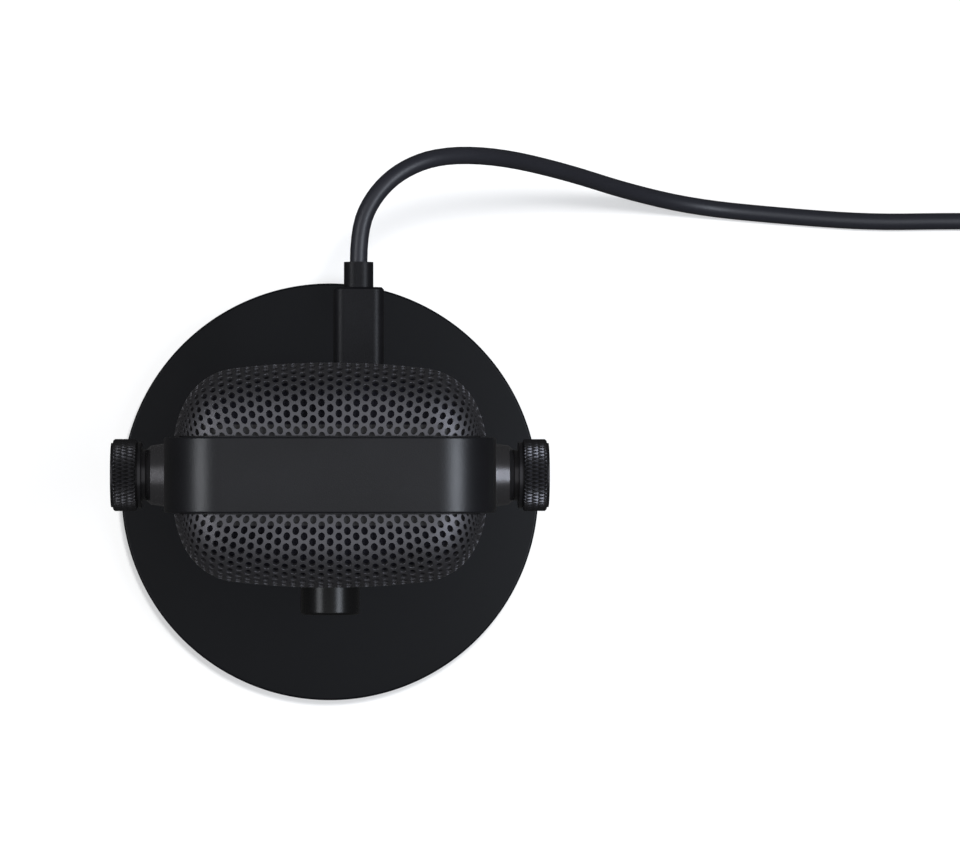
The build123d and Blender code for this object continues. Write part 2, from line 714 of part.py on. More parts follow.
def make_dial():
    """Push shaft of the encoder, and the dial that turns on it."""
    with BuildPart() as dial_shaft:
        with BuildSketch(facing_front(0, SHAFT_BACK, DIAL_Z)):
            Circle(SHAFT_D / 2)
        extrude(amount=DIAL_BACK + DIAL_BORE_DEPTH - SHAFT_BACK)
    save(dial_shaft, "dial_shaft")

    with BuildPart() as dial:
        with BuildSketch(facing_front(0, DIAL_BACK, DIAL_Z)):
            Circle(DIAL_D / 2)
        extrude(amount=DIAL_FRONT - DIAL_BACK)
        fillet(dial.edges().group_by(Axis.Y)[0], DIAL_FILLET)
        with BuildSketch(facing_front(0, DIAL_BACK, DIAL_Z)):
            Circle(SHAFT_D / 2 + THREAD_CLEARANCE)
        extrude(amount=DIAL_BORE_DEPTH + DIAL_BORE_SPARE, mode=Mode.SUBTRACT)
    save(dial, "dial")


# ---------------------------------------------------------------- cord and plugs


def make_plug(prefix, x, y, z):
    """Strain relief, overmould and metal shell of a plug that points forwards from its cord's end."""
    start = Plane(origin=(x, y, z), x_dir=(1, 0, 0), z_dir=(0, -1, 0))
    with BuildPart() as relief:
        with BuildSketch(start):
            RectangleRounded(RELIEF_W, RELIEF_H, RELIEF_CORNER_R)
        extrude(amount=RELIEF_L)
    save(relief, f"{prefix}_relief")

    with BuildPart() as overmould:
        with BuildSketch(start.offset(RELIEF_L)):
            RectangleRounded(PLUG_W, PLUG_H, PLUG_CORNER_R)
        extrude(amount=PLUG_L)
        chamfer(overmould.edges().group_by(Axis.Y)[-1], PLUG_CHAMFER)
    save(overmould, f"{prefix}_body")

    with BuildPart() as shell:
        with BuildSketch(start.offset(RELIEF_L + PLUG_L)):
            SlotOverall(SHELL_W, SHELL_H)
        extrude(amount=SHELL_L)
        with BuildSketch(start.offset(RELIEF_L + PLUG_L + SHELL_L)):
            SlotOverall(SHELL_W - 2 * SHELL_WALL, SHELL_H - 2 * SHELL_WALL)
        extrude(amount=-SHELL_L + SHELL_FLOOR, mode=Mode.SUBTRACT)
    save(shell, f"{prefix}_shell")


def bend_radii(points):
    """Largest arc at each corner that leaves a straight stretch on the shorter of its two runs."""
    radii = []
    for before, corner, after in zip(points, points[1:], points[2:]):
        run_in = Vector(corner) - Vector(before)
        run_out = Vector(after) - Vector(corner)
        turn = math.radians(run_in.get_angle(run_out))
        shorter = min(run_in.length, run_out.length)
        radii.append(ARC_SHARE * shorter / math.tan(turn / 2))
    return radii


def make_cord_tube(name, points, radii):
    """Round cord along straight runs joined by tangent arcs."""
    with BuildPart() as tube:
        with BuildLine() as route:
            FilletPolyline(*points, radius=radii)
        with BuildSketch(Plane(origin=route.wire() @ 0, z_dir=route.wire() % 0)):
            Circle(CORD_D / 2)
        sweep()
    length = route.wire().length
    ideal = math.pi * (CORD_D / 2) ** 2 * length
    print(f"{name}: length {length:.1f} mm, volume {tube.part.volume:.1f} of {ideal:.1f} mm3")
    save(tube, name)


def make_cord():
    """The cord in the air and on the table, its tied coil, and the plug at the far end."""
    radii = bend_radii(ROUTE)
    print("cord bend radii:", ", ".join(f"{radius:.1f}" for radius in radii))
    parting = (Vector(ROUTE[LANDING]) + Vector(ROUTE[LANDING + 1])) / 2
    make_cord_tube("cord_air", [*ROUTE[: LANDING + 1], parting], radii[:LANDING])
    make_cord_tube("cord_table", [parting, *ROUTE[LANDING + 1 :]], radii[LANDING:])

    tie_y = COIL_Y - COIL_MEAN_R
    with BuildPart() as cord_tie:
        with Locations((COIL_X, tie_y, TIE_H / 2)):
            Box(TIE_L, TIE_W, TIE_H)
            Box(TIE_L, TIE_W - 2 * TIE_T, TIE_H - 2 * TIE_T, mode=Mode.SUBTRACT)
    save(cord_tie, "cord_tie")

    with BuildPart() as cord_coil:
        with BuildSketch(Plane((COIL_X, COIL_Y, 0))):
            Circle(COIL_OUT_R)
            Circle(COIL_IN_R, mode=Mode.SUBTRACT)
        extrude(amount=COIL_H)
        fillet(cord_coil.edges(), COIL_EDGE_R)
        add(cord_tie.part, mode=Mode.SUBTRACT)
        with BuildSketch(Plane(origin=ROUTE[-1], z_dir=(1, 0, 0))):
            Circle(STUB_D / 2)
        extrude(amount=COIL_X - ROUTE[-1][0])
        with BuildSketch(Plane(origin=(COIL_X + COIL_TURN_R, COIL_Y, FAR_PLUG_Z), z_dir=(0, -1, 0))):
            Circle(STUB_D / 2)
        extrude(amount=COIL_Y - TAIL_Y)
    save(cord_coil, "cord_coil")

    print(f"coil: {COIL_TURNS * 2 * math.pi * COIL_MEAN_R:.0f} mm wound")


def main():
    os.makedirs("parts", exist_ok=True)
    make_base()
    make_yoke()
    make_thumb_screws()
    make_band()
    make_chassis()
    make_skins()
    make_ribbon_motor()
    make_transformer()
    make_electronics()
    make_dial()
    make_plug("plug", PORT_X, NEAR_END_Y, PORT_Z)
    make_plug("far_plug", COIL_X + COIL_TURN_R, TAIL_Y, FAR_PLUG_Z)
    make_cord()


main()
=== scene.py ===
import json
import math

import bmesh
import bpy
import numpy
from mathutils import Matrix, Vector


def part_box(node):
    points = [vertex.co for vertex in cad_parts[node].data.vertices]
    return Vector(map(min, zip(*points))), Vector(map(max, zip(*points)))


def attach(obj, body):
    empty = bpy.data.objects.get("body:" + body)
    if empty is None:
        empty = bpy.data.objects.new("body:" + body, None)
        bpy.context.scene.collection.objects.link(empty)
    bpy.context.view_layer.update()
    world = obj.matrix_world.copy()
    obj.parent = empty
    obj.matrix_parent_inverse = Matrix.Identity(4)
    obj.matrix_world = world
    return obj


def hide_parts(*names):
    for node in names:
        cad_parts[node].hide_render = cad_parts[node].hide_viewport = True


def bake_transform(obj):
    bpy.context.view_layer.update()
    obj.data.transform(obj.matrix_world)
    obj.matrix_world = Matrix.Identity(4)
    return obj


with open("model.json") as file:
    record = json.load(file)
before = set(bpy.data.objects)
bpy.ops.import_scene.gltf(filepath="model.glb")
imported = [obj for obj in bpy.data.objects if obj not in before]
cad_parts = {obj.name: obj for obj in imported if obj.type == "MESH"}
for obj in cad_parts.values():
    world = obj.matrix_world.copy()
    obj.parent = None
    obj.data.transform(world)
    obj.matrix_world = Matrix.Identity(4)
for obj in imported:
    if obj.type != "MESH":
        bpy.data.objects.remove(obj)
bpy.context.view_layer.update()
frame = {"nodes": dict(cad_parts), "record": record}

# Everything is in the frame of the CAD: +Z up, +Y to the rear, +X to the right of somebody who faces
# the front. Sizes of the microphone are written in millimetres and turned into metres by mm(); those
# of the camera, the floor and the lights are in metres.
MM = 0.001
QUARTER = math.pi / 2


def mm(*values):
    """Millimetres as a tuple of metres."""
    return tuple(value * MM for value in values)


# ---------------------------------------------------------------- materials

GRAIN_DETAIL = 3
GRAIN_SHARE = 0.5
SHADE_PATCHES_PER_METRE = 70
SHADE_DETAIL = 4
DARKEST_AT = 0.3
LIGHTEST_AT = 0.7
GLOSS_SPREAD = 0.06
LEAST_ROUGHNESS = 0.02


def surface(name, color, roughness, metallic=0.0, grain=0.3, bump=0.01, mottling=0.12, specular=0.5,
            coat=0.0, coat_roughness=0.2, stretch=(1.0, 1.0, 1.0)):
    """Material with fine grain in its bump and roughness, and a slow change of shade.

    The grain's size and the height of its bumps are in millimetres."""
    material = bpy.data.materials.new(name)
    material.use_nodes = True
    nodes = material.node_tree.nodes
    links = material.node_tree.links
    shader = nodes["Principled BSDF"]
    shader.inputs["Metallic"].default_value = metallic
    shader.inputs["Specular IOR Level"].default_value = specular
    shader.inputs["Coat Weight"].default_value = coat
    shader.inputs["Coat Roughness"].default_value = coat_roughness

    place = nodes.new("ShaderNodeTexCoord")
    mapping = nodes.new("ShaderNodeMapping")
    mapping.inputs["Scale"].default_value = stretch
    links.new(place.outputs["Object"], mapping.inputs["Vector"])

    fine = nodes.new("ShaderNodeTexNoise")
    fine.inputs["Scale"].default_value = 1 / (grain * MM)
    fine.inputs["Detail"].default_value = GRAIN_DETAIL
    links.new(mapping.outputs["Vector"], fine.inputs["Vector"])

    slow = nodes.new("ShaderNodeTexNoise")
    slow.inputs["Scale"].default_value = SHADE_PATCHES_PER_METRE
    slow.inputs["Detail"].default_value = SHADE_DETAIL
    links.new(place.outputs["Object"], slow.inputs["Vector"])

    shade = nodes.new("ShaderNodeValToRGB")
    shade.color_ramp.elements[0].position = DARKEST_AT
    shade.color_ramp.elements[0].color = (*[c * (1 - mottling) for c in color], 1)
    shade.color_ramp.elements[1].position = LIGHTEST_AT
    shade.color_ramp.elements[1].color = (*[c * (1 + mottling) for c in color], 1)
    blend = nodes.new("ShaderNodeMath")
    blend.operation = "MULTIPLY_ADD"
    blend.inputs[1].default_value = GRAIN_SHARE
    links.new(fine.outputs["Fac"], blend.inputs[0])
    rest = nodes.new("ShaderNodeMath")
    rest.operation = "MULTIPLY"
    rest.inputs[1].default_value = 1 - GRAIN_SHARE
    links.new(slow.outputs["Fac"], rest.inputs[0])
    links.new(rest.outputs["Value"], blend.inputs[2])
    links.new(blend.outputs["Value"], shade.inputs["Fac"])
    links.new(shade.outputs["Color"], shader.inputs["Base Color"])

    gloss = nodes.new("ShaderNodeMapRange")
    gloss.inputs["To Min"].default_value = max(LEAST_ROUGHNESS, roughness - GLOSS_SPREAD)
    gloss.inputs["To Max"].default_value = min(1.0, roughness + GLOSS_SPREAD)
    links.new(fine.outputs["Fac"], gloss.inputs["Value"])
    links.new(gloss.outputs["Result"], shader.inputs["Roughness"])

    relief = nodes.new("ShaderNodeBump")
    relief.inputs["Distance"].default_value = bump * MM
    links.new(fine.outputs["Fac"], relief.inputs["Height"])
    links.new(relief.outputs["Normal"], shader.inputs["Normal"])
    return material


LOOKS = {
    "base_black": dict(color=(0.003, 0.0032, 0.004), roughness=0.42, grain=0.35, bump=0.003, specular=0.2),
    "pad_rubber": dict(color=(0.02, 0.02, 0.02), roughness=0.85, grain=0.5, bump=0.05),
    "black_steel": dict(color=(0.05, 0.05, 0.055), roughness=0.35, metallic=0.8, grain=0.2, bump=0.004),
    "yoke_black": dict(color=(0.27, 0.265, 0.28), roughness=0.22, metallic=0.97, grain=0.3, bump=0.002),
    "bush_plastic": dict(color=(0.03, 0.03, 0.03), roughness=0.55, grain=0.3, bump=0.01),
    "band_black": dict(color=(0.0045, 0.0046, 0.0058), roughness=0.35, grain=0.25, bump=0.018, mottling=0.3),
    "grille_black": dict(color=(0.145, 0.141, 0.15), roughness=0.53, metallic=0.97, grain=0.15, bump=0.002),
    "foam": dict(color=(0.004, 0.004, 0.006), roughness=0.7, grain=0.3, bump=0.25, mottling=0.9, specular=0.2),
    "cover_black": dict(color=(0.01, 0.01, 0.011), roughness=0.4, grain=0.25, bump=0.01),
    "chassis_plastic": dict(color=(0.012, 0.012, 0.013), roughness=0.6, grain=0.4, bump=0.01),
    "brass": dict(color=(0.62, 0.44, 0.2), roughness=0.3, metallic=1.0, grain=0.2, bump=0.004),
    "knob_black": dict(color=(0.075, 0.074, 0.08), roughness=0.3, metallic=0.93, grain=0.2, bump=0.002),
    "magnet": dict(color=(0.6, 0.6, 0.62), roughness=0.25, metallic=1.0, grain=0.4, bump=0.004),
    "iron": dict(color=(0.28, 0.28, 0.29), roughness=0.45, metallic=1.0, grain=0.3, bump=0.01),
    "frame_aluminium": dict(color=(0.7, 0.7, 0.72), roughness=0.35, metallic=1.0, stretch=(1, 1, 12)),
    "ribbon_foil": dict(color=(0.85, 0.85, 0.87), roughness=0.2, metallic=1.0, grain=0.2, bump=0.01),
    "copper": dict(color=(0.6, 0.25, 0.12), roughness=0.35, metallic=0.9, stretch=(1, 1, 20), bump=0.05),
    "board_green": dict(color=(0.02, 0.09, 0.045), roughness=0.4, grain=0.6, bump=0.005, coat=0.4),
    "socket_steel": dict(color=(0.6, 0.6, 0.62), roughness=0.28, metallic=1.0, grain=0.3, bump=0.004),
    "dial_black": dict(color=(0.004, 0.004, 0.0042), roughness=0.29, grain=0.2, bump=0.003, specular=0.33),
    "plug_black": dict(color=(0.005, 0.005, 0.006), roughness=0.42, grain=0.3, bump=0.03, mottling=0.35,
                       specular=0.22),
    "cord_black": dict(color=(0.014, 0.0145, 0.019), roughness=0.42, grain=0.5, bump=0.01),
    "tie_black": dict(color=(0.018, 0.018, 0.019), roughness=0.8, grain=0.25, bump=0.12, mottling=0.4),
}
MATERIALS = {name: surface(name, **look) for name, look in LOOKS.items()}


def paint(obj, slot):
    """Give an object the one material of a slot."""
    obj.data.materials.clear()
    obj.data.materials.append(MATERIALS[slot])


def paint_frame():
    """Give every CAD node the material of its slot in the record."""
    for row in frame["record"]["subparts"]:
        paint(frame["nodes"][row["node"]], row["material_slot"])


# ---------------------------------------------------------------- mesh helpers


def new_mesh(name, vertices, faces, slot, sharp_angle=35):
    """Smoothly shaded mesh piece with creases above an angle in degrees."""
    mesh = bpy.data.meshes.new(name)
    mesh.from_pydata([tuple(v) for v in vertices], [], faces)
    mesh.validate()
    mesh.shade_smooth()
    mesh.set_sharp_from_angle(angle=math.radians(sharp_angle))
    piece = bpy.data.objects.new(name, mesh)
    bpy.context.scene.collection.objects.link(piece)
    paint(piece, slot)
    return piece


def grid_faces(rings, points, closed=False):
    """Quads between rings of points; the rings themselves close, and closed joins the last to the first."""
    faces = []
    for ring in range(rings if closed else rings - 1):
        following = (ring + 1) % rings
        for point in range(points):
            beside = (point + 1) % points
            faces.append((ring * points + point, ring * points + beside,
                          following * points + beside, following * points + point))
    return faces


def rounded_outline(half_a, half_b, radius, steps):
    """Around a rounded rectangle: for each point, the centre of its corner and the outward direction."""
    outline = []
    out_a, out_b = half_a - radius, half_b - radius
    for quarter, (a, b) in enumerate(((out_a, out_b), (-out_a, out_b), (-out_a, -out_b), (out_a, -out_b))):
        for step in range(steps + 1):
            angle = (quarter + step / steps) * QUARTER
            outline.append((a, b, math.cos(angle), math.sin(angle)))
    return outline


# ---------------------------------------------------------------- camera

CAMERA_HEIGHT = 1.120
CAMERA_Y = 0.004
LENS = 173.8
SENSOR_W = 36
AIM = Vector(mm(36.2, 16.1, 0))


def make_camera():
    """Long lens straight above the microphone, aimed a little to its right."""
    camera = bpy.data.objects.new("camera", bpy.data.cameras.new("camera"))
    bpy.context.scene.collection.objects.link(camera)
    camera.data.lens = LENS
    camera.data.sensor_width = SENSOR_W
    camera.data.clip_end = 20
    camera.location = (0, CAMERA_Y, CAMERA_HEIGHT)
    ahead = (AIM - camera.location).normalized()
    across = ahead.cross(Vector((0, 1, 0))).normalized()
    turned = Matrix((across, across.cross(ahead), -ahead)).transposed()
    camera.rotation_mode = "QUATERNION"
    camera.rotation_quaternion = turned.to_quaternion()
    bpy.context.scene.camera = camera


make_camera()

# ---------------------------------------------------------------- cord

CORD_D = 4.0
CORD_EXIT = (6.4, 52.0, 75.0)
CORD_ROUTE = [
    CORD_EXIT,
    (6.4, 59.6, 75.0),
    (9.9, 67.2, 75.0),
    (16.0, 73.0, 74.0),
    (25.0, 76.6, 70.0),
    (38.5, 77.2, 58.0),
    (55.0, 75.1, 36.0),
    (71.0, 71.7, 15.0),
    (88.0, 68.7, 3.0),
    (108.0, 66.8, 2.0),
    (130.0, 65.2, 2.0),
    (148.0, 65.5, 2.0),
    (164.0, 65.5, 2.0),
]
# Places of the turns in the coil's section, from the one that the cord enters: steps of one cord
# outwards or inwards, and up
TURN_PLACES = [
    (1, 0), (0, 0), (-1, 0), (-1, 1), (-1, 2), (-1, 3),
    (0, 3), (1, 3), (1, 2), (0, 2), (0, 1), (1, 1),
]
COIL_TURNS = len(TURN_PLACES) - 0.75
POINTS_PER_TURN = 24
LINE_STEPS = 5
CROSSING_POINTS = 4
CORD_SIDES = 20
# The tail leaves the last turn below the coil's middle, and is level again above the far plug
TAIL_FROM = 1
TAIL_HALFWAY = 6
TAIL_LEVEL = 4
COIL_LOW, COIL_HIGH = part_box("cord_coil")
COIL_OUT_R = (COIL_HIGH.y - COIL_LOW.y) / 2 / MM
COIL_R = COIL_OUT_R - 1.5 * CORD_D
COIL_X = COIL_HIGH.x / MM - COIL_OUT_R
COIL_Y = COIL_HIGH.y / MM - COIL_OUT_R


def coil_points():
    """Control points of the wound turns, clockwise from the entry to the tail beside the far plug.

    The cord changes its place in the section once a turn, under the tie."""
    # The line cuts inside its control points, so they are put that much further out
    shrink = math.cos(math.pi / POINTS_PER_TURN) ** 1.5
    steps = round(COIL_TURNS * POINTS_PER_TURN)
    points = []
    for step in range(1, steps):
        turn, within = divmod(step - POINTS_PER_TURN / 2 + CROSSING_POINTS / 2, POINTS_PER_TURN)
        share = min(1.0, within / CROSSING_POINTS)
        before = TURN_PLACES[max(0, int(turn))]
        after = TURN_PLACES[int(turn) + 1]
        outwards = before[0] + (after[0] - before[0]) * share
        upwards = before[1] + (after[1] - before[1]) * share
        angle = QUARTER - step * 2 * math.pi / POINTS_PER_TURN
        radius = (COIL_R + outwards * CORD_D) / shrink
        points.append((COIL_X + radius * math.cos(angle), COIL_Y + radius * math.sin(angle),
                       CORD_D / 2 + upwards * CORD_D))
    return points


def tail_points():
    """Control points from the end of the last turn straight down to the far plug."""
    low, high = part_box("far_plug_relief")
    x = (low.x + high.x) / 2 / MM
    end_y = high.y / MM
    end_z = (low.z + high.z) / 2 / MM
    last_z = CORD_D / 2 + TURN_PLACES[-1][1] * CORD_D
    return [(x, COIL_Y - TAIL_FROM, last_z), (x, COIL_Y - TAIL_HALFWAY, (last_z + end_z) / 2),
            (x, end_y + TAIL_LEVEL, end_z), (x, end_y, end_z)]


def spline_points(name, points):
    """Close points along the smooth line that a route's control points give, in metres."""
    curve = bpy.data.curves.new(name, "CURVE")
    curve.dimensions = "3D"
    spline = curve.splines.new("NURBS")
    spline.points.add(len(points) - 1)
    for place, point in zip(spline.points, points):
        place.co = (*mm(*point), 1)
    spline.order_u = 3
    spline.use_endpoint_u = True
    spline.resolution_u = LINE_STEPS
    holder = bpy.data.objects.new(name, curve)
    bpy.context.scene.collection.objects.link(holder)
    bpy.context.view_layer.update()
    line = bpy.data.meshes.new_from_object(holder)
    places = [vertex.co.copy() for vertex in line.vertices]
    bpy.data.objects.remove(holder)
    bpy.data.meshes.remove(line)
    return places


def tube_mesh(name, places, radius, sides, slot):
    """Round tube along a line of points, with closed ends."""
    vertices = []
    direction = (places[1] - places[0]).normalized()
    across = direction.orthogonal().normalized()
    for index, place in enumerate(places):
        ahead = places[min(index + 1, len(places) - 1)]
        behind = places[max(index - 1, 0)]
        direction = (ahead - behind).normalized()
        across = (across - direction * across.dot(direction)).normalized()
        beside = direction.cross(across)
        for side in range(sides):
            angle = 2 * math.pi * side / sides
            vertices.append(place + radius * (math.cos(angle) * across + math.sin(angle) * beside))
    faces = grid_faces(len(places), sides)
    last = (len(places) - 1) * sides
    faces.append(tuple(range(sides - 1, -1, -1)))
    faces.append(tuple(range(last, last + sides)))
    return new_mesh(name, vertices, faces, slot, sharp_angle=60)


def make_cord():
    """One continuous cord: out of the near plug, down to the table, into the tied coil and the far plug."""
    places = spline_points("cord_route", CORD_ROUTE + coil_points() + tail_points())
    cord = tube_mesh("cord", places, CORD_D / 2 * MM, CORD_SIDES, "cord_black")
    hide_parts("cord_air", "cord_table", "cord_coil")
    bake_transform(cord)
    length = sum((b - a).length for a, b in zip(places, places[1:]))
    print(f"cord length {length:.3f} m")
    return cord, places


cord, cord_places = make_cord()

# ---------------------------------------------------------------- head

HEAD_Y = 4.0
BLOCK_HALF_W = 31.3
BLOCK_HALF_D = 22.5
BLOCK_TOP = 203.1
TOP_R = 10.1
SIDE_R = 20.0
SIDE_ANGLE = math.radians(29)
CORNER_R = 12.5
FACE_ANGLE = math.radians(7)
SHEET_EDGE_Y = 7.8
SEAM_Z = 98.0
FLAT_V = BLOCK_TOP - TOP_R

# The outline seen from above is three arcs and a flat, from the middle of the face to the middle of
# the side; its points are given to the right and forwards of the middle of the head
CORNER_END = QUARTER - SIDE_ANGLE
FACE_HALF_W = (BLOCK_HALF_W - (SIDE_R - CORNER_R) * (1 - math.cos(SIDE_ANGLE))
               - CORNER_R * (1 - math.sin(FACE_ANGLE)))
FACE_R = FACE_HALF_W / math.sin(FACE_ANGLE)
FACE_CENTRE = (0.0, BLOCK_HALF_D - FACE_R)
CORNER_CENTRE = ((FACE_R - CORNER_R) * math.sin(FACE_ANGLE),
                 FACE_CENTRE[1] + (FACE_R - CORNER_R) * math.cos(FACE_ANGLE))
SIDE_CENTRE = (CORNER_CENTRE[0] - (SIDE_R - CORNER_R) * math.sin(CORNER_END),
               CORNER_CENTRE[1] - (SIDE_R - CORNER_R) * math.cos(CORNER_END))
ARCS = ((FACE_CENTRE, FACE_R, 0.0, FACE_ANGLE), (CORNER_CENTRE, CORNER_R, FACE_ANGLE, CORNER_END),
        (SIDE_CENTRE, SIDE_R, CORNER_END, QUARTER))

# Holes of the sheet, as they are on the flat face
COLUMN_STEP = 1.84
ROW_STEP = 2.2
HOLE_HALF_W = 0.71
HOLE_HALF_H = 0.8
HOLE_NARROWING = 0.2
RIM_W = 0.035
RIM_DEPTH = 0.04
SHEET_T = 0.9
HOLE_SIDES = 12
SOLID_EDGE = 1.3
CREASE = math.radians(30)

# How the sheet draws in over the top: the columns close up a little, stay evenly spaced until near
# the sides, and the rows, which follow the outline on the wall, are straight again on the top
CONVERGE = 0.00026
EVEN_HALF_W = 25.0
CROWDED_W = 5.5
ONTO_TOP = 12.0
ROWS_STRAIGHT = 24.0
TINY = 1e-9


def outline_point(length):
    """Points of the outline by their distance from the middle of the face, along the sheet."""
    x = numpy.full_like(length, BLOCK_HALF_W)
    forward = numpy.zeros_like(length)
    passed = 0.0
    for centre, radius, first, last in ARCS:
        angle = first + (length - passed) / radius
        here = (length >= passed) & (angle <= last)
        x = numpy.where(here, centre[0] + radius * numpy.sin(angle), x)
        forward = numpy.where(here, centre[1] + radius * numpy.cos(angle), forward)
        passed += radius * (last - first)
    return x, numpy.where(length > passed, SIDE_CENTRE[1] - (length - passed), forward)


def beyond_core(x, forward):
    """How far points are outside the core on which the shoulder rolls, and the outward direction there."""
    beyond = numpy.full_like(x, -1.0)
    normal_x = numpy.zeros_like(x)
    normal_forward = numpy.zeros_like(x)
    for centre, radius, first, last in ARCS:
        angle = numpy.arctan2(x - centre[0], forward - centre[1])
        here = (angle >= first) & (angle <= last)
        beyond = numpy.where(here, numpy.hypot(x - centre[0], forward - centre[1]) - radius + TOP_R, beyond)
        normal_x = numpy.where(here, numpy.sin(angle), normal_x)
        normal_forward = numpy.where(here, numpy.cos(angle), normal_forward)
    beside = (forward < SIDE_CENTRE[1]) & (x > SIDE_CENTRE[0])
    beyond = numpy.where(beside, x - BLOCK_HALF_W + TOP_R, beyond)
    return beyond, numpy.where(beside, 1.0, normal_x), numpy.where(beside, 0.0, normal_forward)


def drawn_points(u, v, depth):
    """Points of the flat sheet where they are on the drawn one, or that far below its skin."""
    over = numpy.maximum(0.0, v - FLAT_V)
    length = numpy.abs(u) * (1 - CONVERGE * over ** 2)
    wall_x, wall_forward = outline_point(length)
    crowded = EVEN_HALF_W + CROWDED_W * (1 - numpy.exp((EVEN_HALF_W - length) / CROWDED_W))
    top_x = numpy.where(length < EVEN_HALF_W, length, crowded)
    on_top = numpy.sin(QUARTER * numpy.minimum(1.0, over / ONTO_TOP)) ** 2
    straight = numpy.sin(QUARTER * numpy.minimum(1.0, over / ROWS_STRAIGHT)) ** 2
    turned = numpy.minimum(over / TOP_R, QUARTER)
    back = TOP_R * (1 - numpy.cos(turned)) + numpy.maximum(0.0, over - TOP_R * QUARTER)
    x = wall_x + on_top * (top_x - wall_x)
    forward = wall_forward + straight * (BLOCK_HALF_D - wall_forward) - back

    beyond, normal_x, normal_forward = beyond_core(x, forward)
    away = numpy.clip(beyond, 0.0, TOP_R)
    rise = numpy.minimum(TOP_R * numpy.sin(turned), numpy.sqrt(TOP_R ** 2 - away ** 2))
    scale = (TOP_R - depth) / numpy.maximum(numpy.hypot(away, rise), TINY)
    shift = numpy.where(beyond > 0, away * scale - beyond, 0.0)
    x = (x + normal_x * shift) * numpy.sign(u)
    return numpy.stack([x, forward + normal_forward * shift, numpy.minimum(v, FLAT_V) + rise * scale], axis=1)


def make_grille(name, facing):
    """Perforated sheet on one side of the head; facing is 1 at the front and -1 at the rear."""
    blank = []
    faces = []
    shared = {}

    def add(u, v, depth=0.0):
        """New point of the blank, at a depth below the skin."""
        blank.append((u, v, depth))
        return len(blank) - 1

    def corner(u, v):
        """Point that neighbouring cells share."""
        key = (round(u, 3), round(v, 3))
        if key not in shared:
            shared[key] = add(u, v)
        return shared[key]

    def add_hole(u, v, hexagon):
        """Cell with an oval hole: the land around it, a fine bevel and the wall of the hole."""
        narrowing = 1 - HOLE_NARROWING * min(1.0, max(0.0, (abs(u) - FACE_HALF_W) / TOP_R))
        rings = []
        for grow, depth in ((RIM_W, 0.0), (0.0, RIM_DEPTH), (0.0, SHEET_T)):
            ring = []
            for side in range(HOLE_SIDES):
                angle = 2 * math.pi * side / HOLE_SIDES
                ring.append(add(u + (HOLE_HALF_W * narrowing + grow) * math.cos(angle),
                                v + (HOLE_HALF_H + grow) * math.sin(angle), depth))
            rings.append(ring)
        rim = rings[0]
        for k in range(6):
            after = (k + 1) % 6
            between = rim[2 * k + 1]
            faces.append((hexagon[k], hexagon[after], between))
            faces.append((hexagon[k], between, rim[2 * k]))
            faces.append((hexagon[after], rim[2 * after], between))
        for upper, lower in zip(rings, rings[1:]):
            for side in range(HOLE_SIDES):
                beside = (side + 1) % HOLE_SIDES
                faces.append((upper[side], upper[beside], lower[beside], lower[side]))

    columns = math.ceil(BLOCK_HALF_W * QUARTER / COLUMN_STEP)
    rows = math.ceil((FLAT_V + TOP_R * math.pi - SEAM_Z) / ROW_STEP)
    cells = [(column * COLUMN_STEP, SEAM_Z + (row + 0.5 * (column % 2)) * ROW_STEP)
             for column in range(-columns, columns + 1) for row in range(-1, rows + 1)]
    middles = drawn_points(*numpy.array(cells).T, 0.0)
    for (u, v), middle in zip(cells, middles):
        if middle[1] > SHEET_EDGE_Y - ROW_STEP:
            hexagon = [corner(u + x * COLUMN_STEP / 3, v + y * ROW_STEP / 2)
                       for x, y in ((2, 0), (1, 1), (-1, 1), (-2, 0), (-1, -1), (1, -1))]
            if v < SEAM_Z + SOLID_EDGE:
                faces.append(hexagon)
            else:
                add_hole(u, v, hexagon)

    points = drawn_points(*numpy.array(blank).T)
    places = [mm(x, HEAD_Y - facing * forward, z) for x, forward, z in points.tolist()]
    data = bpy.data.meshes.new(name)
    data.from_pydata(places, [], faces if facing > 0 else [face[::-1] for face in faces])
    mesh = bmesh.new()
    mesh.from_mesh(data)
    for plane_point, plane_normal in (
        ((0, (HEAD_Y - facing * SHEET_EDGE_Y) * MM, 0), (0, facing, 0)),
        ((0, 0, SEAM_Z * MM), (0, 0, -1)),
    ):
        bmesh.ops.bisect_plane(mesh, geom=mesh.verts[:] + mesh.edges[:] + mesh.faces[:],
                               plane_co=plane_point, plane_no=plane_normal, clear_outer=True)
    mesh.to_mesh(data)
    mesh.free()
    data.shade_smooth()
    data.set_sharp_from_angle(angle=CREASE)
    grille = bpy.data.objects.new(name, data)
    bpy.context.scene.collection.objects.link(grille)
    paint(grille, "grille_black")
    print(name, len(data.polygons), "faces")
    return grille


for grille_name, grille_facing in (("front", 1), ("rear", -1)):
    sheet = make_grille(f"perforated_{grille_name}", grille_facing)
    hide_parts(f"grille_{grille_name}")
    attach(sheet, "head")

BAND_BEVEL = 0.35
BAND_R = 12.0
BAND_T = 2.9
BAND_SKIN = 0.02
CORNER_STEPS = 32
BEVEL_STEPS = 4


